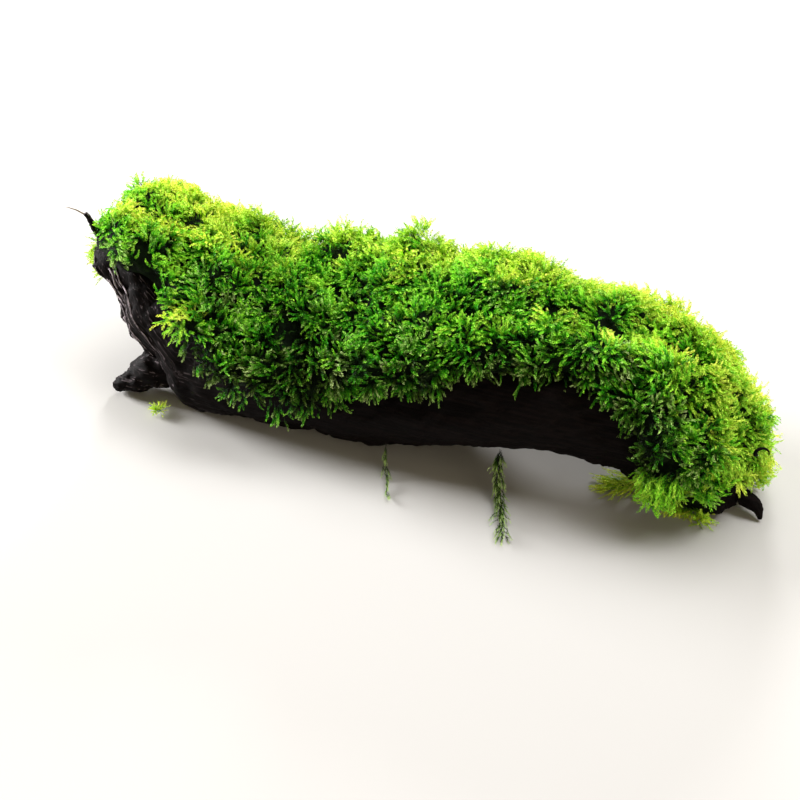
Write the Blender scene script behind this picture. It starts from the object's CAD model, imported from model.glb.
# %% [markdown]
# # A clump of moss on driftwood, dressed round its fixed frame
# The frame is the measured model: an arched log, its root and stubs, and one plain solid for the moss.
# This lesson keeps every piece where the frame has it and gives it its real surface. Wood gets grain
# and fibres, and the moss solid gives way to thousands of single leafy shoots.

import math
from itertools import product

import bmesh
import bpy
import numpy as np
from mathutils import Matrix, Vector, noise
from mathutils.bvhtree import BVHTree


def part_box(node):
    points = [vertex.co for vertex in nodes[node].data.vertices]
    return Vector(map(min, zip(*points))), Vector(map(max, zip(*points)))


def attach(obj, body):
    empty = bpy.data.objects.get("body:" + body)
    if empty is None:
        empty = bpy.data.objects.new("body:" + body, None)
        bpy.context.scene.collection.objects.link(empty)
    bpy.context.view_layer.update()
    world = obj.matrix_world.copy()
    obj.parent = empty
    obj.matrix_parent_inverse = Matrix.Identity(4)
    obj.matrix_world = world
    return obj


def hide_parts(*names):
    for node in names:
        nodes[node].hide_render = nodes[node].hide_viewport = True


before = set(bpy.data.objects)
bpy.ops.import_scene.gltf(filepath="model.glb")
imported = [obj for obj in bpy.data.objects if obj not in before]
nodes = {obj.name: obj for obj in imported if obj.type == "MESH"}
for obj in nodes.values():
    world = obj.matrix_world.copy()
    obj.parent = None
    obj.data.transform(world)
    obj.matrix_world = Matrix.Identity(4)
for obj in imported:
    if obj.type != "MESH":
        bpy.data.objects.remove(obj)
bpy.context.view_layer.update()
MM = 0.001
UP = Vector((0.0, 0.0, 1.0))
dice = np.random.default_rng(7)

# %% [markdown]
# ## The camera
# The view is from the front and a little to the right, looking down. A camera can be placed by hand,
# but two angles and a distance can be read from a photograph, so it is worked out from these.

# %% Aim the camera
CAMERA_AZIMUTH = 20.41      # degrees from straight ahead, to the right
CAMERA_ELEVATION = 39.83    # degrees above the floor
CAMERA_DISTANCE = 465.1 * MM
CAMERA_AIM = Vector((1.74, -24.30, 30.0)) * MM
IMAGE_WIDTH = 800           # pixels
FOCAL_LENGTH = 1347.7       # in the same pixels
SENSOR_WIDTH = 36.0         # mm
NEAREST_SEEN = 10.0 * MM


def add_object(name, data):
    """A new object in the scene."""
    thing = bpy.data.objects.new(name, data)
    bpy.context.scene.collection.objects.link(thing)
    return thing


turn = math.radians(CAMERA_AZIMUTH)
tilt = math.radians(CAMERA_ELEVATION)
backwards = Vector((math.sin(turn) * math.cos(tilt), -math.cos(turn) * math.cos(tilt), math.sin(tilt)))
lens = bpy.data.cameras.new("camera")
lens.sensor_width = SENSOR_WIDTH
lens.lens = FOCAL_LENGTH / IMAGE_WIDTH * SENSOR_WIDTH
lens.clip_start = NEAREST_SEEN
camera = add_object("camera", lens)
camera.location = CAMERA_AIM + backwards * CAMERA_DISTANCE
camera.rotation_euler = backwards.to_track_quat("Z", "Y").to_euler()
bpy.context.scene.camera = camera
print("lens, mm:", round(lens.lens, 1))

# %% [markdown]
# ## The floor
# The clump lies on a plain pale floor that fills the whole picture. A round disc is wide enough for that.
# It is staged, so it isn't saved with the model.

# %% Lay the floor
FLOOR_COLOUR = (0.47, 0.46, 0.45, 1.0)
FLOOR_RADIUS = 0.8
FLOOR_GAP = 0.1 * MM        # keeps the floor clear of the soles that stand on it


def node_material(name, roughness, shine):
    """A new material, and its node tree and shader."""
    finish = bpy.data.materials.new(name)
    finish.use_nodes = True
    tree = finish.node_tree
    shader = tree.nodes["Principled BSDF"]
    shader.inputs["Roughness"].default_value = roughness
    shader.inputs["Specular IOR Level"].default_value = shine
    return finish, tree, shader


def lay_floor():
    finish, tree, shader = node_material("floor_paint", 0.9, 0.2)
    shader.inputs["Base Color"].default_value = FLOOR_COLOUR
    mesh = bpy.data.meshes.new("floor")
    bm = bmesh.new()
    bmesh.ops.create_circle(bm, cap_ends=True, segments=96, radius=FLOOR_RADIUS)
    bm.to_mesh(mesh)
    bm.free()
    mesh.materials.append(finish)
    floor = add_object("floor", mesh)
    floor.location.z = -FLOOR_GAP


lay_floor()
print("floor across, m:", 2.0 * FLOOR_RADIUS)

# %% [markdown]
# ## The lamps
# One lamp can't give an even light on top, a long shadow to the front right, a lit strip under the arch
# and a bright rim on the back of the moss. So a soft window hangs above, a strong low one at the left
# throws the shadow, and a high one at the right opens it. A low one behind lights the strip and the rim,
# and a weak warm one fills the front.

# %% Hang the lamps
WHITE = (1.0, 1.0, 1.0)
WARM = (1.0, 0.88, 0.66)


def towards(azimuth, elevation):
    """A direction to look from. Azimuth in degrees from straight behind the log, to the right."""
    turned = math.radians(azimuth)
    raised = math.radians(elevation)
    across = math.cos(raised)
    return Vector((math.sin(turned) * across, math.cos(turned) * across, math.sin(raised)))


LAMP_FROM = towards(15.0, 76.0)
LAMPS = (                   # name, where it hangs, distance and size in metres, watts and tint
    ("window", LAMP_FROM, 1.1, 0.75, 7.8, WHITE),
    ("left_window", towards(273.0, 17.0), 1.2, 0.4, 40.0, WHITE),
    ("right_window", towards(75.0, 60.0), 1.2, 0.5, 9.0, WHITE),
    ("low_window", towards(-8.0, 24.0), 1.3, 0.3, 14.0, WHITE),
    ("front_fill", towards(128.0, 12.0), 1.3, 0.9, 4.2, WARM),
)
for name, direction, distance, size, watts, tint in LAMPS:
    light = bpy.data.lights.new(name, "AREA")
    light.color = tint
    light.shape = "DISK"
    light.size = size
    light.energy = watts
    lamp = add_object(name, light)
    lamp.location = direction * distance
    lamp.rotation_euler = direction.to_track_quat("Z", "Y").to_euler()
print("lamps:", len(LAMPS))

# %% [markdown]
# ## The sky
# The sky fills the shadows, weakly enough to leave the gaps between the shoots nearly black, but it
# should look pale behind the floor. So it is two backgrounds: a dim warm one that gives the light, and a
# pale one that only the camera sees. The plain Standard view keeps the greens strong.

# %% Paint the sky
SKY_LIGHT = (1.0, 0.86, 0.62, 1.0)
SKY_STRENGTH = 0.26
SKY_SEEN = (0.93, 0.92, 0.90, 1.0)


def add_node(tree, kind, inputs):
    """A new node, its inputs linked to other nodes or set to plain values."""
    node = tree.nodes.new("ShaderNode" + kind)
    for name, value in inputs.items():
        if isinstance(value, bpy.types.NodeSocket):
            tree.links.new(value, node.inputs[name])
        else:
            node.inputs[name].default_value = value
    return node


def paint_sky():
    sky = bpy.data.worlds.new("sky")
    sky.use_nodes = True
    tree = sky.node_tree
    dim = tree.nodes["Background"]
    dim.inputs["Color"].default_value = SKY_LIGHT
    dim.inputs["Strength"].default_value = SKY_STRENGTH
    pale = add_node(tree, "Background", {"Color": SKY_SEEN})
    to_camera = add_node(tree, "LightPath", {}).outputs["Is Camera Ray"]
    both = add_node(tree, "MixShader", {0: to_camera, 1: dim.outputs[0], 2: pale.outputs[0]})
    tree.links.new(both.outputs["Shader"], tree.nodes["World Output"].inputs["Surface"])
    return sky


bpy.context.scene.world = paint_sky()
bpy.context.scene.view_settings.view_transform = "Standard"

# %% [markdown]
# ## Reading the frame's surfaces
# Everything grows from the surfaces of the wood and of the moss solid. A search tree (BVH) finds in
# microseconds where a ray meets a surface and what is nearest on it, so shoots can stand by the thousand.

# %% Search trees of the wood and the moss
def mesh_arrays(piece):
    """Corner points and triangles of an object's mesh, as arrays in metres."""
    mesh = piece.data
    mesh.calc_loop_triangles()
    points = np.zeros(len(mesh.vertices) * 3)
    mesh.vertices.foreach_get("co", points)
    corners = np.zeros(len(mesh.loop_triangles) * 3, dtype=np.int64)
    mesh.loop_triangles.foreach_get("vertices", corners)
    return points.reshape(-1, 3), corners.reshape(-1, 3)


def search_tree(piece):
    points, corners = mesh_arrays(piece)
    return BVHTree.FromPolygons(points.tolist(), corners.tolist())


def unit(vectors):
    """The same directions, all of length 1."""
    return vectors / np.maximum(np.linalg.norm(vectors, axis=-1, keepdims=True), 1e-12)


def away_from_wood(spots):
    """Unit vectors from the wood to each spot, and how far the wood is."""
    steps = spots - np.array([tuple(wood_tree.find_nearest(spot)[0]) for spot in spots])
    return unit(steps), np.linalg.norm(steps, axis=1)


wood_tree = search_tree(nodes["driftwood_trunk"])
moss_tree = search_tree(nodes["moss_mat"])
moss_points, moss_corners = mesh_arrays(nodes["moss_mat"])
print("moss solid:", len(moss_corners), "triangles")

# %% [markdown]
# ## The outside of the moss
# The moss solid is a thick shell over the log, and only on its outside do shoots show. A triangle that
# faces away from the nearest point of the wood is on the outside.

# %% Sort out the outer triangles
FACING_OUT = 0.15


def outer_triangles():
    """The outer triangles, with their area and their outward normal."""
    sides = moss_points[moss_corners]
    normals = np.cross(sides[:, 1] - sides[:, 0], sides[:, 2] - sides[:, 0])
    areas = np.linalg.norm(normals, axis=1) / 2.0
    normals /= np.maximum(2.0 * areas, 1e-15)[:, None]
    away = away_from_wood(sides.mean(axis=1))[0]
    keep = (away * normals).sum(axis=1) > FACING_OUT
    return sides[keep], areas[keep], normals[keep]


outer_sides, outer_areas, outer_normals = outer_triangles()
print("outer side:", len(outer_areas), "triangles,", round(outer_areas.sum() / MM ** 2), "mm2")

# %% [markdown]
# ## Where the tufts stand
# Moss grows in tufts, small bundles of shoots from one foot, a few millimetres apart. Random points would
# clot and leave holes. So they are thrown in one after another, and one that lands too near an earlier
# one is dropped, which spaces them as crowding does.

# %% Throw the tufts
TUFT_SPACING = 3.3 * MM
THROWS = 22000


def random_points(sides, areas, count):
    """Random points on triangles, and the triangle that each is on."""
    picks = dice.choice(len(areas), size=count, p=areas / areas.sum())
    first = np.sqrt(dice.random(count))[:, None]
    second = dice.random(count)[:, None]
    corner = sides[picks]
    spots = corner[:, 0] * (1 - first) + corner[:, 1] * first * (1 - second) + corner[:, 2] * first * second
    return spots, picks


def thin_out(spots, spacing):
    """Indices of spots no nearer than spacing to one kept before, by looking in a grid of cells."""
    kept = []
    cells = {}
    for index, spot in enumerate(spots):
        cell = tuple(np.floor(spot / spacing).astype(int))
        crowded = False
        for x, y, z in product((-1, 0, 1), repeat=3):
            for other in cells.get((cell[0] + x, cell[1] + y, cell[2] + z), ()):
                step = spots[other] - spot
                if step @ step < spacing * spacing:
                    crowded = True
        if not crowded:
            kept.append(index)
            cells.setdefault(cell, []).append(index)
    return kept


tuft_spots, tuft_triangles = random_points(outer_sides, outer_areas, THROWS)
kept_tufts = thin_out(tuft_spots, TUFT_SPACING)
tuft_spots = tuft_spots[kept_tufts]
tuft_normals = outer_normals[tuft_triangles[kept_tufts]]
print("tufts:", len(tuft_spots))

# %% [markdown]
# ## One leafy shoot
# A shoot is a thin stem with small folded leaves in a spiral, longest in the middle and closing to a
# bud at the tip. It could be a flat card with a picture on it, but real leaves catch the light one by
# one. The pattern is made straight, in millimetres, and each shoot bends its own copy later.

# %% Draw the straight patterns
SHOOT_LENGTH = 8.0          # mm, of the straight pattern
STEM_RADIUS = 0.13
STEM_RINGS = ((0.0, 1.0), (0.55, 0.8))      # place along the stem, and share of its radius
STEM_SIDES = 3
LEAVES = 16
FIRST_LEAF = 0.30           # share of the stem that is bare
LEAF_LENGTH = 1.15
LEAF_WIDTH = 0.52
LEAF_FOLD = 0.16
LEAF_WAIST = 0.42           # share of its length at which a leaf is widest
LEAF_SPREAD = 26.0          # degrees between the lowest leaf and the stem
LEAF_CLOSING = 12.0         # degrees by which the last leaf stands closer
SPIRAL_STEP = 137.5         # degrees from leaf to leaf
PATTERNS = 8
SHADE_WIDTH = 0.005         # on the colour map
STEM_GLOW = 0.80            # how far the stem's end reaches along the colour map
LEAF_GLOW = 0.86            # and the leaves


def shoot_pattern():
    """Points (across x, across y, along in mm), triangles, and map places of a straight shoot."""
    points = []
    faces = []
    places = []

    def add(x, y, along, glow, shade):
        points.append((x, y, along))
        places.append((glow, shade))
        return len(points) - 1

    rings = []
    for along, radius in STEM_RINGS:
        ring = []
        for side in range(STEM_SIDES):
            angle = 2.0 * math.pi * side / STEM_SIDES
            x = radius * STEM_RADIUS * math.cos(angle)
            y = radius * STEM_RADIUS * math.sin(angle)
            ring.append(add(x, y, along * SHOOT_LENGTH, along * STEM_GLOW, (side - 1) * SHADE_WIDTH))
        rings.append(ring)
    tip = add(0.0, 0.0, SHOOT_LENGTH, 0.95, 2.0 * SHADE_WIDTH)
    for side in range(STEM_SIDES):
        other = (side + 1) % STEM_SIDES
        faces.append((rings[0][side], rings[0][other], rings[1][other]))
        faces.append((rings[0][side], rings[1][other], rings[1][side]))
        faces.append((rings[1][side], rings[1][other], tip))

    for leaf in range(LEAVES):
        share = (leaf + dice.uniform(-0.3, 0.3)) / (LEAVES - 1)
        along = FIRST_LEAF + (0.99 - FIRST_LEAF) * max(share, 0.0) ** 0.9
        size = 0.55 + 0.45 * math.sin(math.pi * min(share * 0.75 + 0.2, 1.0))
        angle = math.radians(SPIRAL_STEP * leaf + dice.uniform(-20.0, 20.0))
        spread = math.radians(LEAF_SPREAD - LEAF_CLOSING * share + dice.uniform(-7.0, 7.0))
        out = Vector((math.cos(angle), math.sin(angle), 0.0))
        beside = Vector((-math.sin(angle), math.cos(angle), 0.0))
        ahead = UP * math.cos(spread) + out * math.sin(spread)
        lift = out * math.cos(spread) - UP * math.sin(spread)
        length = LEAF_LENGTH * size * dice.uniform(0.8, 1.2)
        foot = Vector((0.0, 0.0, min(along, 0.97) * SHOOT_LENGTH)) + out * STEM_RADIUS * 0.5
        waist = foot + ahead * length * LEAF_WAIST + lift * LEAF_FOLD
        end = foot + ahead * length
        half = beside * LEAF_WIDTH * size * 0.5
        glow = along * LEAF_GLOW
        shade = dice.uniform(-2.0, 2.0) * SHADE_WIDTH
        base = add(*foot, glow, shade)
        left = add(*(waist - half), glow + 0.05, shade - SHADE_WIDTH)
        right = add(*(waist + half), glow + 0.05, shade + SHADE_WIDTH)
        point = add(*end, min(glow + 0.12, 0.99), shade)
        faces.append((base, left, point))
        faces.append((base, point, right))
    return np.array(points), np.array(faces), np.array(places)


patterns = [shoot_pattern() for _ in range(PATTERNS)]
print("triangles in one shoot:", len(patterns[0][1]))

# %% [markdown]
# ## Bending shoots by the thousand
# A loop over objects would take minutes and instances are lost when the model is saved, so the shoots
# are bent as arrays. Each has a foot, a first and a last direction, a length and a thickness. The points of
# the pattern are laid along the curve between the two directions, with a small wave on top, so that every
# shoot is a little crooked.

# %% Bend the patterns
WAVE = 0.07                 # of the shoot's length, to each side
WAVE_TURNS = 5.5            # radians along the shoot


def bent_shoots(feet, first, last, lengths, thickness, shades, glows):
    """Points, triangles and map places of many shoots, joined. All lengths are in metres."""
    spins = unit(dice.normal(size=(len(feet), 3)))
    parts = []
    used = 0
    which = dice.integers(0, PATTERNS, len(feet))
    for kind, (points, faces, places) in enumerate(patterns):
        chosen = np.nonzero(which == kind)[0]
        share = points[:, 2] / SHOOT_LENGTH
        start = first[chosen][:, None, :]
        change = (last[chosen] - first[chosen])[:, None, :]
        run = share[None, :, None]
        centre = start * run + change * run ** 2 / 2.0
        centre = centre + np.cross(start, spins[chosen][:, None, :]) * np.sin(WAVE_TURNS * run) * WAVE
        place = feet[chosen][:, None, :] + centre * lengths[chosen][:, None, None]
        tangent = unit(start + change * run)
        across = unit(np.cross(tangent, spins[chosen][:, None, :]))
        beside = np.cross(tangent, across)
        wide = (thickness[chosen] * MM)[:, None, None]
        place = place + (across * points[None, :, 0, None] + beside * points[None, :, 1, None]) * wide
        offsets = used + np.arange(len(chosen))[:, None, None] * len(points)
        tint = np.tile(places, (len(chosen), 1, 1))
        tint[:, :, 0] *= glows[chosen][:, None]
        tint[:, :, 1] += shades[chosen][:, None]
        parts.append((place.reshape(-1, 3), (faces[None] + offsets).reshape(-1, 3), tint.reshape(-1, 2)))
        used += len(chosen) * len(points)
    return [np.concatenate(arrays) for arrays in zip(*parts)]


# %% [markdown]
# ## From arrays to a mesh
# Adding corners one by one is slow, but a mesh takes whole arrays at once. The places on the colour map go
# into a UV layer, which is saved with the model and so keeps each shoot's colour.

# %% Join the shoots to one object
MAP_NAME = "OFBake"
MAP_MARGIN = 0.002          # keeps the places off the very edge of the map


def mesh_piece(name, points, faces, places, finish):
    """A mesh object from arrays, with the map places on its corners."""
    mesh = bpy.data.meshes.new(name)
    mesh.vertices.add(len(points))
    mesh.vertices.foreach_set("co", points.astype(np.float32).ravel())
    mesh.loops.add(faces.size)
    mesh.loops.foreach_set("vertex_index", faces.astype(np.int32).ravel())
    mesh.polygons.add(len(faces))
    mesh.polygons.foreach_set("loop_start", np.arange(0, faces.size, 3, dtype=np.int32))
    mesh.update(calc_edges=True)
    layer = mesh.uv_layers.new(name=MAP_NAME)
    on_map = np.clip(places[faces.ravel()], MAP_MARGIN, 1.0 - MAP_MARGIN)
    layer.data.foreach_set("uv", on_map.astype(np.float32).ravel())
    mesh.materials.append(finish)
    return add_object(name, mesh)


# %% [markdown]
# ## The colour of moss
# A shoot is nearly black at its foot, where no light comes, and pale at its growing tip. A whole tuft
# may be old and olive, or young and lime. So the material is a map with two directions: along the shoot
# from left to right, and from old to young upwards. Each shoot is laid on it at its own height.

# %% Mix the moss colours
OLD_MOSS = ((0.38, (0.003, 0.008, 0.001)), (0.66, (0.060, 0.125, 0.008)), (0.92, (0.50, 0.66, 0.24)))
GREEN_MOSS = ((0.32, (0.001, 0.012, 0.001)), (0.62, (0.038, 0.330, 0.002)), (0.94, (0.34, 0.84, 0.04)))
YOUNG_MOSS = ((0.04, (0.03, 0.12, 0.001)), (0.38, (0.36, 0.78, 0.006)), (0.80, (0.84, 0.94, 0.12)))
OLD_TO_GREEN = (0.05, 0.35)     # youths between which old turns green
GREEN_TO_YOUNG = (0.52, 0.97)   # and green turns young


def ramp(tree, stops, value):
    """A colour ramp through the given stops, fed by a value."""
    node = add_node(tree, "ValToRGB", {"Fac": value})
    elements = node.color_ramp.elements
    while len(elements) < len(stops):
        elements.new(0.5)
    for element, (place, colour) in zip(elements, stops):
        element.position = place
        element.color = (*colour, 1.0)
    return node.outputs["Color"]


def blend_colours(tree, share, low, high):
    """Mixes two colours by a share."""
    node = tree.nodes.new("ShaderNodeMix")
    node.data_type = "RGBA"
    tree.links.new(share, node.inputs["Factor"])
    tree.links.new(low, node.inputs["A"])
    tree.links.new(high, node.inputs["B"])
    return node.outputs["Result"]


def stretch(tree, value, low, high):
    """0 up to low, 1 from high on."""
    return add_node(tree, "MapRange", {"Value": value, "From Min": low, "From Max": high}).outputs["Result"]


def moss_finish():
    finish, tree, shader = node_material("moss_leaves", 0.5, 0.12)
    place = add_node(tree, "UVMap", {})
    place.uv_map = MAP_NAME
    along, youth, _ = add_node(tree, "SeparateXYZ", {"Vector": place.outputs["UV"]}).outputs
    old, green, young = (ramp(tree, stops, along) for stops in (OLD_MOSS, GREEN_MOSS, YOUNG_MOSS))
    lower = blend_colours(tree, stretch(tree, youth, *OLD_TO_GREEN), old, green)
    colour = blend_colours(tree, stretch(tree, youth, *GREEN_TO_YOUNG), lower, young)
    tree.links.new(colour, shader.inputs["Base Color"])
    return finish


moss_leaves = moss_finish()
print("colour nodes:", len(moss_leaves.node_tree.nodes))

# %% [markdown]
# ## How the tufts stand
# A shoot rises out of the mat and curls over, so that its leafy end lies along the outer surface.
# Neighbouring tufts sweep the same way, as hair does, and on the flanks they droop. On the front the
# moss ends along a wavering edge, and below it the wood is bare.

# %% Choose the living tufts and their sweep
SWEEP_SIZE = 16.0 * MM      # over which neighbours change their way
SWEEP = 0.70
DROOP = 0.45
LEFT_SWEEP = np.array((0.8, 0.0, 0.3))      # the way of the tufts at the left end
LEAN_DOWN = 0.25
LEAN_STRAY = 0.22           # how far tufts stray from their neighbours, in their lean
SWEEP_STRAY = 0.70          # and in their sweep
LOWEST_OUT = -0.30          # no tuft looks further down than this
FRONT_OUT = 0.15            # tufts that look further back than this have no edge
EDGE_WAVER = 2.5 * MM
WAVER_SIZE = 6.0 * MM
DOWN = np.array((0.0, 0.0, -1.0))

# How high the living moss ends on the front: x and z in mm. Below it the wood is bare.
FRONT_EDGE = (
    (-121.0, 56.0), (-114.0, 54.0), (-104.0, 60.0), (-95.0, 62.0), (-88.0, 56.0), (-80.0, 50.0),
    (-74.0, 42.0), (-66.0, 37.0), (-54.0, 33.0), (-42.0, 28.0), (-32.0, 24.0), (-20.0, 28.0), (-8.0, 37.0),
    (12.0, 40.0), (26.0, 42.0), (36.0, 46.0), (46.0, 48.0), (56.0, 48.0), (68.0, 53.0), (77.0, 43.0),
    (84.0, 36.0), (88.0, 12.0), (92.0, 0.0), (112.5, 0.0), (115.0, 19.0), (122.0, 15.0), (128.0, 6.0),
)


def smooth_noise(spots, size):
    """A smooth random value between about -1 and 1 for each spot, that changes over a given size."""
    return np.array([noise.noise(Vector(spot) / size) for spot in spots])


def fade(values, start, width):
    """0 up to start, 1 from one width further on."""
    return np.clip((values - start) / width, 0.0, 1.0)


def along_surface(vectors, out):
    """The part of each vector that lies along the surface."""
    return vectors - out * (vectors * out).sum(axis=1, keepdims=True)


def front_edge(x):
    """The height of the moss's front edge at x, in metres."""
    places, heights = zip(*FRONT_EDGE)
    return np.interp(x / MM, places, heights) * MM


def sweep_of(spots):
    """A smooth field of directions, from three noises."""
    shifts = (0.0, 7.3, 15.1)
    return np.stack([smooth_noise(spots + shift, SWEEP_SIZE) for shift in shifts], axis=1) * 2.2


away, moss_depth = away_from_wood(tuft_spots)
tuft_out = unit(0.45 * tuft_normals + 0.55 * away)
edge = front_edge(tuft_spots[:, 0]) + EDGE_WAVER * smooth_noise(tuft_spots, WAVER_SIZE)
living = (tuft_out[:, 2] > LOWEST_OUT) & ((tuft_out[:, 1] > FRONT_OUT) | (tuft_spots[:, 2] > edge))
tuft_spots, tuft_out, moss_depth = tuft_spots[living], tuft_out[living], moss_depth[living]
tufts = len(tuft_spots)
tuft_x, tuft_z = tuft_spots[:, 0] / MM, tuft_spots[:, 2] / MM
tuft_flank = np.clip(1.1 - tuft_out[:, 2], 0.0, 1.0)
at_left_end = fade(-tuft_x, 96.0, 12.0)
droop = tuft_flank[:, None] * DOWN
tuft_lean = unit(tuft_out + LEAN_DOWN * droop + LEAN_STRAY * dice.normal(size=(tufts, 3)))
tuft_sweep = SWEEP * sweep_of(tuft_spots) + DROOP * droop
tuft_sweep += SWEEP_STRAY * dice.normal(size=(tufts, 3)) + at_left_end[:, None] * LEFT_SWEEP
print("living tufts:", tufts)

# %% [markdown]
# ## Dark pockets
# From a step away moss reads as light clumps round dark holes. Smooth noise makes most of the holes, fewer
# on top than on the flanks, and the deepest have their places here. Tufts in a pocket stand lower and
# show less of their bright ends, and none grows in its middle.

# %% Sink the pockets
DARK_POCKETS = (            # place and radius, in mm
    (28.0, -22.6, 38.5, 4.5), (-15.6, -16.8, 56.7, 3.5), (-13.5, -21.5, 43.0, 4.5),
    (-10.8, -25.5, 30.0, 5.0), (-65.7, -9.1, 62.5, 3.5), (-37.9, -26.2, 46.8, 5.5),
    (17.0, -7.4, 60.7, 3.0), (-40.7, -39.2, 29.3, 5.0), (-79.5, -25.4, 57.0, 4.0),
    (98.6, -19.5, 50.3, 4.0), (-100.0, -18.0, 65.5, 3.2), (-115.5, -11.5, 58.0, 3.0),
)
POCKET_SIZE = 7.0 * MM
POCKET_DEPTH = 2.6 * MM
POCKET_LEVEL = 0.22         # noise above this is a pocket
POCKET_STEEPNESS = 2.6
BARE_FROM = 0.92            # pocket share from which no tuft grows


def pocket_share(spots, more):
    """1 in the middle of a pocket, 0 outside. More gives some spots more pockets."""
    level = smooth_noise(spots + 3.1, POCKET_SIZE) - POCKET_LEVEL + more
    share = np.clip(POCKET_STEEPNESS * level, 0.0, 1.0)
    for x, y, z, radius in DARK_POCKETS:
        far = np.linalg.norm(spots - np.array((x, y, z)) * MM, axis=1)
        share = np.maximum(share, np.clip(1.6 - far / (radius * MM), 0.0, 1.0))
    return share


at_head_rim = fade(-tuft_x, 104.0, 8.0)
on_bend = fade(tuft_x, 50.4, 12.0)
fewer = 0.32 + 0.5 * at_head_rim + 0.25 * on_bend * (1.0 - tuft_flank)
pocket = pocket_share(tuft_spots, 0.62 * tuft_flank - fewer)
print("tufts in bare pockets:", int((pocket >= BARE_FROM).sum()))

# %% [markdown]
# ## Young and old tufts
# Tufts that look up and back are young and lime, and those on the flanks and at the rim of the broken end
# are old and olive. A tuft's youth picks its colours, and its glow says how early along the shoot they turn
# pale. Both are sums of shares, each for one part of the log, with its weight.

# %% Give each tuft its youth and glow
LIME_PATCH = np.array((-78.0, -34.0, 51.0)) * MM        # a young tuft on the edge of the moss
LIME_SIZE = 7.5 * MM


def weighed(*pairs):
    """The sum of all shares, each times its weight."""
    return sum(weight * share for weight, share in pairs)


to_light = np.clip(tuft_out @ np.array(LAMP_FROM), 0.0, 1.0)
at_bent_end = fade(tuft_x, 78.0, 10.0)
on_head = fade(-tuft_x, 65.0, 24.0)
broken_rim = fade(-tuft_x, 118.0, 6.0)
low_down = fade(-tuft_z, -28.6, 22.0)
to_back = fade(tuft_out[:, 1], -0.20, 0.5) * fade(tuft_out[:, 2], 0.0, 0.4)
to_right = fade(tuft_out[:, 0], 0.35, 0.35) * at_bent_end * (1.0 - low_down)
lime_patch = np.clip(1.5 - np.linalg.norm(tuft_spots - LIME_PATCH, axis=1) / LIME_SIZE, 0.0, 1.0)
tuft_youth = 0.12 + weighed(
    (0.36, to_light ** 2),
    (0.38, np.maximum(to_back, 1.2 * to_right)),
    (0.66, low_down * at_bent_end),
    (-0.25, broken_rim),
    (0.22, on_head * to_light ** 2),
    (0.60, lime_patch),
    (0.16, at_bent_end * to_back),
    (0.06, on_bend * to_back),
    (0.14, smooth_noise(tuft_spots, 12.0 * MM)),
    (0.09, dice.normal(size=tufts)),
)
tuft_glow = 0.86 + weighed(
    (0.18, to_light ** 2),
    (-0.45, pocket),
    (1.00, low_down * at_bent_end),
    (0.16, at_left_end),
    (0.20, on_head),
    (0.25, lime_patch),
    (0.50, on_bend * to_back),
    (0.20, to_right),
    (0.24, smooth_noise(tuft_spots + 0.7, 9.0 * MM)),
    (0.08, dice.normal(size=tufts)),
)
print("mean youth and glow:", round(float(tuft_youth.mean()), 2), round(float(tuft_glow.mean()), 2))

# %% [markdown]
# ## Twelve shoots to a tuft
# Every shoot starts as its tuft stands, and then strays a little in lean, curl, length and place. Its foot
# lies well below the surface of the solid, and its bent end comes up to it.

# %% Lay out the shoots
SHOOTS_IN_TUFT = 12
SHOOT_LENGTHS = (6.6, 10.2)     # mm
THICKNESSES = (0.85, 1.25)
CURLS = (0.5, 1.3)
FOOT_DEPTH = 4.9 * MM
FOOT_STRAY = 0.6 * MM
UNEVEN = 0.8 * MM           # how far tufts stand above or below each other
FIRST_STRAY = 0.35          # how far a shoot strays from its tuft at its foot
LAST_STRAY = 0.55           # and at its tip
YOUTHS = (0.03, 0.97)       # the oldest and the youngest place on the colour map
GLOWS = (0.5, 1.6)

of_tuft = np.repeat(np.nonzero(pocket < BARE_FROM)[0], SHOOTS_IN_TUFT)
count = len(of_tuft)
out = tuft_out[of_tuft]
stray = dice.normal(size=(count, 3))
curl = dice.uniform(*CURLS, count)[:, None]
first = unit(tuft_lean[of_tuft] + FIRST_STRAY * stray)
last = unit(0.24 * out + curl * along_surface(tuft_sweep[of_tuft] + LAST_STRAY * stray, out))
shorter = 0.22 * at_left_end + 0.20 * pocket + 0.12 * (1.0 - tuft_flank)
lengths = dice.uniform(*SHOOT_LENGTHS, count) * (1.0 - shorter)[of_tuft] * MM
side_step = dice.normal(size=(count, 3)) * FOOT_STRAY
tuft_depth = FOOT_DEPTH + POCKET_DEPTH * pocket + UNEVEN * dice.normal(size=tufts)
depth = np.minimum(tuft_depth, moss_depth - 0.3 * MM)[of_tuft]
feet = tuft_spots[of_tuft] - out * depth[:, None] + side_step
shades = np.clip(tuft_youth[of_tuft] + 0.08 * dice.normal(size=count), *YOUTHS)
glows = np.clip(tuft_glow[of_tuft] + 0.05 * dice.normal(size=count), *GLOWS)
thickness = dice.uniform(*THICKNESSES, count)
print("shoots:", count, "triangles:", count * len(patterns[0][1]))

# %% [markdown]
# ## Five lengths of the carpet
# One mesh of all shoots would be too heavy, so the carpet is cut across the log into five lengths. All of
# them stand for the same solid of the frame.

# %% Make the carpet
CARPET = (                  # name, and from where to where along the log, in mm
    ("moss_shoots_head", -200.0, -76.0),
    ("moss_shoots_shoulder", -76.0, -26.0),
    ("moss_shoots_middle", -26.0, 24.0),
    ("moss_shoots_arch", 24.0, 74.0),
    ("moss_shoots_bend", 74.0, 200.0),
)


def carry(piece, node):
    """Fix a piece to the body, in place of the frame's node if it stands for one."""
    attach(piece, "root")
    if node:
        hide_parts(node)


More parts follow.
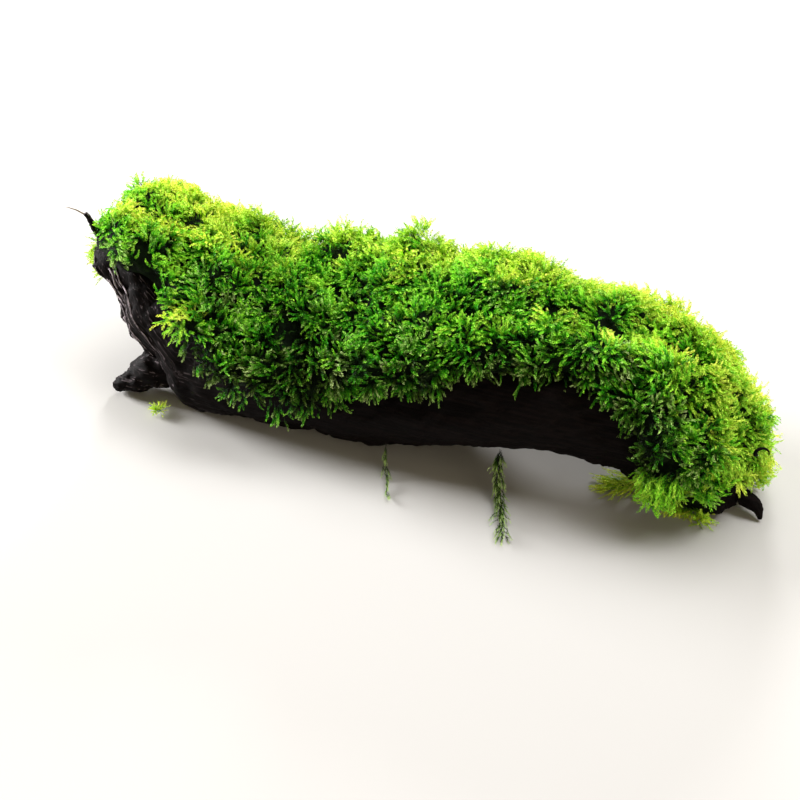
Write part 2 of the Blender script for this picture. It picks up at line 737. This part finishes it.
def shoot_piece(name, node, slot, *shoots):
    """A piece of bent shoots. None goes through the floor."""
    points, faces, places = bent_shoots(*shoots)
    points[:, 2] = np.maximum(points[:, 2], 0.0)
    carry(mesh_piece(name, points, faces, places, moss_leaves), node)
    print(name, len(shoots[0]), "shoots,", len(faces), "triangles")


for name, low, high in CARPET:
    mine = np.nonzero((feet[:, 0] >= low * MM) & (feet[:, 0] < high * MM))[0]
    shoot_piece(name, "moss_mat", "moss",
                *(values[mine] for values in (feet, first, last, lengths, thickness, shades, glows)))

# %% [markdown]
# ## The felt under the shoots
# Between the shoots one looks into a dark felt of old stems. A shrunken, lumpy copy of the moss solid
# stands for it and closes the gaps, so that no pale floor shines through. On the front, below the edge of
# the living moss, it is sunk into the wood, which is bare there.

# %% Sink the felt
FELT_DEPTH = 4.4 * MM
FELT_LEAST = 0.25           # share of the moss's thickness that the felt keeps at least
FELT_LUMPS = 0.9 * MM
LUMP_SIZE = 3.0 * MM
THIN = 1.0 * MM             # moss thinner than this is left as it is
BARE_DEPTH = 1.6 * MM       # how far the felt lies inside the wood where the wood is bare
BARE_FADE = 4.0 * MM        # over which it sinks in, below the edge
BARE_TOP = 62.0 * MM
BACK_OUT = 0.25             # felt that looks further back than this is never sunk
FELT_COLOURS = ((0.30, (0.0006, 0.002, 0.0004)), (0.55, (0.002, 0.007, 0.001)), (0.75, (0.008, 0.020, 0.002)))


def copy_of(node, cuts):
    """A finer copy of a node's mesh, as a new bmesh that shares no corner twice."""
    bm = bmesh.new()
    bm.from_mesh(nodes[node].data)
    bmesh.ops.remove_doubles(bm, verts=bm.verts[:], dist=0.01 * MM)
    for _ in range(cuts):
        bmesh.ops.subdivide_edges(bm, edges=bm.edges[:], cuts=1, use_grid_fill=True, smooth=0.0)
        bmesh.ops.triangulate(bm, faces=bm.faces[:])
    bm.normal_update()
    return bm


def smooth_piece(name, bm, finish, node):
    mesh = bpy.data.meshes.new(name)
    bm.to_mesh(mesh)
    bm.free()
    mesh.materials.append(finish)
    mesh.shade_smooth()
    piece = add_object(name, mesh)
    carry(piece, node)
    print(name, len(mesh.polygons), "faces")
    return piece


def object_place(tree):
    """The place of a point in its own object, in metres."""
    return add_node(tree, "TexCoord", {}).outputs["Object"]


def noise_share(tree, place, scale, detail):
    """A noise between 0 and 1 at a place."""
    return add_node(tree, "TexNoise", {"Vector": place, "Scale": scale, "Detail": detail}).outputs["Fac"]


def roughen(tree, shader, height, strength, distance):
    """A bump pattern on a shader."""
    bump = add_node(tree, "Bump", {"Height": height, "Strength": strength, "Distance": distance})
    tree.links.new(bump.outputs["Normal"], shader.inputs["Normal"])


def felt_finish():
    finish, tree, shader = node_material("moss_felt", 0.9, 0.1)
    grain = noise_share(tree, object_place(tree), 420.0, 3.0)
    tree.links.new(ramp(tree, FELT_COLOURS, grain), shader.inputs["Base Color"])
    roughen(tree, shader, grain, 0.9, 0.6 * MM)
    return finish


def bare_share(spot, away):
    """1 on the front below the edge of the living moss, where no felt is left on the wood."""
    if away.y > BACK_OUT or spot.z > BARE_TOP:
        return 0.0
    below = (float(front_edge(spot.x)) - spot.z) / BARE_FADE + 0.3
    return min(max(below, 0.0), 1.0)


def sink_felt():
    bm = copy_of("moss_mat", 1)
    for vert in bm.verts:
        foot = wood_tree.find_nearest(vert.co)[0]
        step = vert.co - foot
        thick = step.length
        away = step.normalized()
        keep = max(1.0 - FELT_DEPTH / thick, FELT_LEAST) if thick > THIN else 1.0
        lump = FELT_LUMPS * noise.noise(vert.co / LUMP_SIZE) if thick > 3.0 * THIN else 0.0
        sunk = foot + step * keep + away * lump
        vert.co = sunk.lerp(foot - away * BARE_DEPTH, bare_share(vert.co, away))
    smooth_piece("moss_felt", bm, felt_finish(), "moss_mat")


sink_felt()

# %% [markdown]
# ## The colour of weathered wood
# Soaked driftwood is nearly black, and single fibres have gone grey where it is worn, at the broken end.
# Noise that is stretched along the grain gives long streaks, and the worn colours fade in towards the
# end. There the grain dives down with the log, and the streaks with it.

# %% Mix the wood colours
WOOD_DARK = (0.0014, 0.0007, 0.0007)
WOOD_BROWN = (0.0055, 0.0030, 0.0028)
WOOD_GREY = (0.13, 0.107, 0.117)
STREAKS_ALONG = 28.0        # to a metre
STREAKS_ACROSS = 900.0
WORN_FROM = -62.0 * MM      # to the left of this the wood looks more and more worn
WORN_TO = -96.0 * MM
DIVE_X = -84.0 * MM         # to the left of this the grain dives
DIVE_SLOPE = 1.15


def math_node(tree, operation, value, other):
    """A Math node on sockets or plain numbers."""
    node = add_node(tree, "Math", {0: value, 1: other})
    node.operation = operation
    return node.outputs["Value"]


def wood_finish(name, dive):
    """Dark wood with paler worn fibres, mostly at the broken end."""
    finish, tree, shader = node_material(name, 0.7, 0.06)
    x, y, z = add_node(tree, "SeparateXYZ", {"Vector": object_place(tree)}).outputs
    past = math_node(tree, "MINIMUM", math_node(tree, "SUBTRACT", x, DIVE_X), 0.0)
    sideways = math_node(tree, "ADD", z, math_node(tree, "MULTIPLY", past, dive))
    joined = add_node(tree, "CombineXYZ", {
        "X": math_node(tree, "MULTIPLY", x, STREAKS_ALONG),
        "Y": math_node(tree, "MULTIPLY", y, STREAKS_ACROSS),
        "Z": math_node(tree, "MULTIPLY", sideways, STREAKS_ACROSS),
    })
    fibres = noise_share(tree, joined.outputs["Vector"], 1.0, 3.0)
    dark = ramp(tree, ((0.40, WOOD_DARK), (0.70, WOOD_BROWN)), fibres)
    worn = ramp(tree, ((0.46, WOOD_DARK), (0.60, WOOD_BROWN), (0.76, WOOD_GREY)), fibres)
    near_end = stretch(tree, x, WORN_FROM, WORN_TO)
    tree.links.new(blend_colours(tree, near_end, dark, worn), shader.inputs["Base Color"])
    roughen(tree, shader, fibres, 0.8, 0.4 * MM)
    return finish


weathered_wood = wood_finish("weathered_wood", DIVE_SLOPE)
stub_wood = wood_finish("weathered_stubs", 0.0)
print("wood nodes:", len(weathered_wood.node_tree.nodes))

# %% [markdown]
# ## Weathered wood
# Long ridges stand where hard grain has outlasted soft grain. A bump pattern alone would look flat at the
# outline, so each solid gets a finer skin, moved in and out by noise that is stretched along the grain.
# The skin of the log is also spread over the floor beside its root, and hollowed at the broken end.

# %% Carve the grain
GRAIN_ALONG = 26.0 * MM     # length of a ridge
GRAIN_ACROSS = 2.1 * MM     # and its width
GRAIN_HEIGHT = 0.75 * MM
FINE_ALONG = 12.0 * MM
FINE_ACROSS = 0.9 * MM
PIT_SIZE = 5.5 * MM
PIT_DEPTH = 0.7 * MM
SPREAD_X = (-97.0, -88.0, -77.0, -58.0)     # mm: the spread grows, stays and ends along these
SPREAD_OUT = 7.5 * MM
SPREAD_TOP = 24.0 * MM
SPREAD_DROP = 6.0 * MM
HOLLOW_X = -106.0 * MM
HOLLOW_Z = 34.0 * MM
HOLLOW_SIZE = 9.0 * MM
HOLLOW_DEPTH = 4.0 * MM


def spread_log(bm):
    """Spread the foot of the log and hollow its broken end."""
    for vert in bm.verts:
        x, y, z = vert.co
        beside_root = np.interp(x / MM, SPREAD_X, (0.0, 1.0, 1.0, 0.0)) * fade(-y, 5.0 * MM, 8.0 * MM)
        vert.co.y -= SPREAD_OUT * beside_root * np.clip(1.0 - z / SPREAD_TOP, 0.0, 1.0) ** 0.7
        vert.co.z -= SPREAD_DROP * beside_root * np.clip(1.0 - z / (2.0 * SPREAD_DROP), 0.0, 1.0)
        in_hollow = np.clip(1.4 - abs(z - HOLLOW_Z) / HOLLOW_SIZE, 0.0, 1.0)
        vert.co.x += HOLLOW_DEPTH * in_hollow * fade(-x, -HOLLOW_X, 8.0 * MM)


def grain_place(spot, dive, along=GRAIN_ALONG, across=GRAIN_ACROSS):
    """Where a point lies in the grain: stretched coordinates for the noise."""
    sideways = spot.z + dive * min(spot.x - DIVE_X, 0.0)
    return Vector((spot.x / along, spot.y / across, sideways / across))


def carve(bm, strength, dive):
    bm.normal_update()
    for vert in bm.verts:
        ridge = 1.0 - 2.0 * abs(noise.noise(grain_place(vert.co, dive)))
        fine = noise.noise(grain_place(vert.co, dive, FINE_ALONG, FINE_ACROSS))
        pit = noise.noise(vert.co / PIT_SIZE)
        height = GRAIN_HEIGHT * (ridge - 0.6 + 0.5 * fine) + PIT_DEPTH * pit
        vert.co += vert.normal * height * strength
        vert.co.z = max(vert.co.z, 0.0)


def weather(node, name, strength, finish, dive):
    bm = copy_of(node, 2)
    if node == "driftwood_trunk":
        spread_log(bm)
    carve(bm, strength, dive)
    return smooth_piece(name, bm, finish, node)


log = weather("driftwood_trunk", "weathered_log", 1.0, weathered_wood, DIVE_SLOPE)
weather("driftwood_root_foot", "weathered_root", 0.8, stub_wood, 0.0)
weather("driftwood_hook_stub", "weathered_hook", 0.35, stub_wood, 0.0)
weather("driftwood_snag", "weathered_snag", 0.35, stub_wood, 0.0)
log_tree = search_tree(log)

# %% [markdown]
# ## Hanging tufts
# Longer shoots hang from the front edge of the carpet over the dark wood. They are the same leafy shoots
# in small bundles, bent down more.

# %% Hang tufts along the edge
HANGING_TUFTS = (           # place along the edge, how many shoots, and their length, in mm
    (-66.0, 14, 7.0), (-52.0, 16, 7.0), (-38.0, 14, 8.0), (-30.0, 16, 8.0), (-20.0, 12, 7.0), (-6.0, 14, 7.0),
    (4.0, 14, 7.0), (13.0, 18, 9.0), (18.0, 40, 14.0), (22.0, 18, 10.0), (34.0, 20, 9.0), (40.0, 16, 8.0),
    (45.0, 24, 10.0), (50.0, 22, 10.0), (57.0, 14, 7.0), (64.0, 12, 6.0), (72.0, 12, 6.0), (79.0, 12, 6.0),
)
HANG_STRAY = np.array((1.8, 0.6, 1.2)) * MM
HANG_BACK = np.array((0.0, 1.2, 0.0)) * MM      # the feet are a little inside the moss
IN_FRONT = -0.2             # metres: from here the front is looked at


def leafy_piece(name, node, feet, first, last, lengths, youth, youth_stray, thickness, glow, slot="moss"):
    """A piece of shoots. Feet and directions are rows of an array, lengths are in metres."""
    number = len(feet)
    shades = np.clip(youth + youth_stray * dice.normal(size=number), *YOUTHS)
    thicknesses = dice.uniform(*thickness, number)
    glows = glow * dice.uniform(0.88, 1.04, number)
    shoot_piece(name, node, slot, feet, unit(first), unit(last), lengths, thicknesses, shades, glows)


def astray(directions, amount, number):
    """A number of directions that stray from one, or from a row each."""
    return np.array(directions) + amount * dice.normal(size=(number, 3))


def from_front(tree, x, z):
    """The point and the normal of a surface at x and z, seen from the front, or None twice."""
    return tree.ray_cast(Vector((x, IN_FRONT, z)), Vector((0.0, 1.0, 0.0)))[:2]


feet = []
lengths = []
for x, number, length in HANGING_TUFTS:
    spot = from_front(moss_tree, x * MM, front_edge(x * MM) + 1.0 * MM)[0]
    for _ in range(number):
        feet.append(np.array(spot) + dice.normal(size=3) * HANG_STRAY + HANG_BACK)
        lengths.append(length * dice.uniform(0.55, 1.1) * MM)
first = astray((0.0, -0.75, -0.35), 0.35, len(feet))
last = astray((0.0, -0.25, -1.0), 0.35, len(feet))
leafy_piece("moss_hanging_tufts", "moss_mat", np.array(feet), first, last, np.array(lengths), 0.16, 0.12,
            (0.8, 1.2), 1.0)

# %% [markdown]
# ## Trailing strands
# Two half-dry strands trail from under the log onto the floor. The frame has a plain tube for each, so
# its middle line is read from the tube's own points, and short shoots are set along it, pointing down.

# %% Dress the strands
STRAND_RUNS = np.array((0.0, -1.0, -1.0))       # both run forwards and down
STRAND_PARTS = 8
STRAND_THICKNESS = (0.45, 0.7)


def middle_line(node):
    """Points down the middle of a strand's tube: its mesh points, averaged in slices."""
    points = mesh_arrays(nodes[node])[0]
    order = np.argsort(points @ STRAND_RUNS)
    return np.array([points[part].mean(axis=0) for part in np.array_split(order, STRAND_PARTS)])


def trailing_strand(name, node, shoots, length, spread, glow):
    line = middle_line(node)
    steps = np.diff(line, axis=0)
    place = dice.uniform(0.0, len(steps) - 0.01, shoots)
    index = place.astype(int)
    feet = astray(line[index] + steps[index] * (place - index)[:, None], 0.35 * MM, shoots)
    ahead = unit(steps[index])
    sway = dice.normal(size=(shoots, 3)) * (spread, spread, spread * 0.5)
    lengths = dice.uniform(0.6, 1.1, shoots) * length
    leafy_piece(name, node, feet, ahead + sway, ahead + 0.5 * sway, lengths, 0.05, 0.05, STRAND_THICKNESS,
                glow, "trailing_moss")


trailing_strand("trailing_strand_left", "moss_strand_left", 34, 5.5 * MM, 0.10, 1.5)
trailing_strand("trailing_strand_right", "moss_strand_right", 200, 6.0 * MM, 0.45, 1.25)

# %% [markdown]
# ## The tuft at the root
# A small yellowed tuft sits on the floor in front of the root. It is a burst of short shoots from the
# middle of its solid, and none of them points down.

# %% Burst the root's tuft
ROOT_SHOOTS = 60
ROOT_STRAY = np.array((0.8, 0.6, 0.1)) * MM

low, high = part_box("moss_foot_tuft")
middle = np.array((low + high) / 2.0) - (0.0, 0.0, 2.0 * MM)
burst = dice.normal(size=(ROOT_SHOOTS, 3))
burst[:, 2] = np.abs(burst[:, 2]) * 0.8
feet = astray(middle, ROOT_STRAY, ROOT_SHOOTS)
last = astray(unit(burst), 0.4, ROOT_SHOOTS)
lengths = dice.uniform(2.6, 4.6, ROOT_SHOOTS) * MM
leafy_piece("root_tuft", "moss_foot_tuft", feet, burst, last, lengths, 0.90, 0.08, (0.4, 0.6), 1.6)

# %% [markdown]
# ## The fringe under the bent end
# Where the log bends down, yellowing shoots hang from the underside of the moss. Their tips follow a line
# on the floor. Each foot is found by looking up from there to the moss solid, and more shoots come from
# the face above, so that no dark gap is left.

# %% Hang the fringe
FRINGE_TIPS = ((88.0, -8.0), (92.0, -9.7), (95.7, -14.0), (100.4, -16.5), (108.3, -15.4), (113.0, -12.0))
FRINGE_DEPTH = 11.0 * MM    # how far back from the line of its tips the fringe starts
FRINGE_SHOOTS = 360
FRINGE_FACE = ((87.0, 20.0), (101.0, 31.0))     # low and high x and z, in mm, of the face above it
FACE_SHOOTS = 170
FACE_LENGTH = 7.0 * MM
BELOW_FLOOR = -0.01         # metres: from here one looks up

tip_x, tip_y = (np.array(row) * MM for row in zip(*FRINGE_TIPS))
fringe_x = dice.uniform(tip_x[0], tip_x[-1], FRINGE_SHOOTS)
fringe_y = np.interp(fringe_x, tip_x, tip_y) + dice.uniform(0.0, FRINGE_DEPTH, FRINGE_SHOOTS)
feet = []
lengths = []
for x, y in zip(fringe_x, fringe_y):
    under = moss_tree.ray_cast(Vector((x, y, BELOW_FLOOR)), UP)[0]
    height = 6.0 * MM if under is None else max(under.z, 3.0 * MM)
    feet.append((x, y + 0.25 * height, height))
    lengths.append(min(height + 2.0 * MM, 11.0 * MM))
for x, z in dice.uniform(*FRINGE_FACE, (FACE_SHOOTS, 2)) * MM:
    feet.append(tuple(from_front(moss_tree, x, z)[0]))
    lengths.append(FACE_LENGTH)
feet = np.array(feet)
ahead = astray((-0.25, -0.35, -1.0), 0.38, len(feet))
last = astray(ahead, 0.3, len(feet))
youth = 0.56 + 0.34 * fade(-feet[:, 2] / MM, -19.2, 12.0)
leafy_piece("low_fringe", "moss_mat", feet, ahead, last, np.array(lengths), youth, 0.10, (0.7, 1.0), 1.6)

# %% [markdown]
# ## Wisps
# A loose wisp lies on the floor beside the bent end, and a few pale ones stand off the broken end. They
# are too thin for solids of their own, so they are shoots that stand for no node.

# %% Scatter the wisps
WISP_FROM = np.array((91.0, -3.5, 1.0)) * MM
WISP_TO = np.array((76.0, -10.5, 0.4)) * MM
WISP_STRAY = np.array((0.8, 2.2, 0.7)) * MM
WISP_SPREAD = 0.55 * np.array((1.0, 1.0, 0.35))
WISP_SHOOTS = 190
END_WISPS = ((-126.0, -3.0, 52.0, 40), (-126.0, -5.0, 46.0, 70), (-122.0, -7.0, 42.0, 30))   # mm, shoots

place = dice.uniform(0.0, 1.0, WISP_SHOOTS)[:, None]
feet = WISP_FROM + (WISP_TO - WISP_FROM) * place + np.abs(dice.normal(size=(WISP_SHOOTS, 3))) * WISP_STRAY
ahead = astray(unit(WISP_TO - WISP_FROM), WISP_SPREAD, WISP_SHOOTS)
lengths = dice.uniform(6.0, 11.0, WISP_SHOOTS) * MM
last = ahead + (0.0, 0.0, -0.2)
leafy_piece("wisp_on_floor", None, feet, ahead, last, lengths, 0.90, 0.08, (0.5, 0.8), 1.6)

feet = []
for x, y, z, number in END_WISPS:
    root = log_tree.find_nearest(Vector((x, y, z)) * MM)[0]
    feet.extend(astray(root, 0.9 * MM, number))
feet = np.array(feet)
ahead = astray((-0.9, -0.25, 0.15), 0.5, len(feet))
lengths = dice.uniform(3.0, 7.0, len(feet)) * MM
last = ahead + (0.0, 0.0, -0.7)
leafy_piece("wisps_at_broken_end", None, feet, ahead, last, lengths, 0.84, 0.12, (0.6, 0.9), 1.6)

# %% [markdown]
# ## Worn fibres
# Old wood frays, and a material can't show a fibre that leaves the wood. So thin rods are laid over the
# broken end. Their paths are found by looking at the log's skin from the front, step by step down the
# grain, and the last steps lift off a little.

# %% Lay the loose fibres
ROD_SIDES = 6
FIBRES = 14
FIBRE_STEPS = 8
FIBRE_SLOPE = (0.60, -0.80)     # to the right and down
FIBRE_LIFT = 0.25 * MM
LOOSE_FROM = 0.7            # share of a fibre from which it lifts off
LOOSE_LIFT = 0.5 * MM


def rod(bm, path, radius):
    """A thin closed rod, narrower at its far end. Path in metres, radius in mm."""
    rings = []
    last_step = len(path) - 1
    for index, spot in enumerate(path):
        ahead = (path[min(index + 1, last_step)] - path[max(index - 1, 0)]).normalized()
        across = ahead.cross(Vector((0.31, 0.23, 0.92))).normalized()
        beside = ahead.cross(across)
        width = radius * (1.0 - 0.75 * index / last_step) * MM
        ring = []
        for side in range(ROD_SIDES):
            angle = 2.0 * math.pi * side / ROD_SIDES
            ring.append(bm.verts.new(spot + (across * math.cos(angle) + beside * math.sin(angle)) * width))
        rings.append(ring)
    for near, far in zip(rings, rings[1:]):
        for side in range(ROD_SIDES):
            other = (side + 1) % ROD_SIDES
            bm.faces.new((near[side], near[other], far[other], far[side]))
    bm.faces.new(rings[0][::-1])
    bm.faces.new(rings[-1])


def rod_piece(name, paths, radii, low, high):
    """Rods with a thin streaky finish between two colours."""
    bm = bmesh.new()
    for path, radius in zip(paths, radii):
        rod(bm, path, radius)
    finish, tree, shader = node_material(name, 0.8, 0.1)
    streaks = noise_share(tree, object_place(tree), 500.0, 2.0)
    tree.links.new(ramp(tree, ((0.35, low), (0.65, high)), streaks), shader.inputs["Base Color"])
    smooth_piece(name, bm, finish, None)


def fibre_path(x, z, length):
    """Points down the grain, as far as there is wood above the floor."""
    path = []
    for step in range(FIBRE_STEPS + 1):
        along = step / FIBRE_STEPS
        low = z + length * along * FIBRE_SLOPE[1]
        hit, normal = from_front(log_tree, x + length * along * FIBRE_SLOPE[0], low)
        if hit is None or low < 3.0 * MM:
            break
        path.append(hit + normal * (FIBRE_LIFT + LOOSE_LIFT * max(along - LOOSE_FROM, 0.0)))
    return path


fibre_paths = []
while len(fibre_paths) < FIBRES:
    x, z = dice.uniform(-125.0, -106.0) * MM, dice.uniform(24.0, 52.0) * MM
    path = fibre_path(x, z, dice.uniform(12.0, 26.0) * MM)
    if len(path) >= 5:
        fibre_paths.append(path)
rod_piece("worn_fibres", fibre_paths, dice.uniform(0.18, 0.36, FIBRES), WOOD_BROWN, (0.42, 0.36, 0.39))

# %% [markdown]
# ## A dry hair and a curl of bark
# A thin dry hair stands off the snag, and a small dark curl of bark shows at the bent end. Both are rods:
# the hair runs through a few points, and the curl is most of a circle that faces the camera.

# %% Add the hair and the curl
HAIR = (                    # mm
    (-125.5, -4.0, 62.0), (-128.5, -4.4, 64.8), (-131.5, -4.7, 66.2), (-134.5, -4.8, 66.6),
    (-136.0, -4.8, 66.2),
)
CURL_MIDDLE = Vector((123.2, -10.5, 32.0)) * MM
CURL_RADIUS = 2.3 * MM
CURL_FROM = 205.0           # degrees
CURL_SWEEP = 215.0
CURL_STEPS = 12
CURL_FORWARDS = Vector((0.0, -0.8, 0.0)) * MM

rod_piece("dry_hair", [[Vector(spot) * MM for spot in HAIR]], [0.42], (0.10, 0.075, 0.05), (0.24, 0.19, 0.13))

across_view = Vector((math.cos(turn), math.sin(turn), 0.0))
curl_path = []
for step in range(CURL_STEPS + 1):
    share = step / CURL_STEPS
    angle = math.radians(CURL_FROM - CURL_SWEEP * share)
    round_middle = across_view * math.cos(angle) + UP * math.sin(angle)
    curl_path.append(CURL_MIDDLE + round_middle * CURL_RADIUS + CURL_FORWARDS * share)
rod_piece("bark_curl", [curl_path], [0.75], WOOD_DARK, WOOD_BROWN)
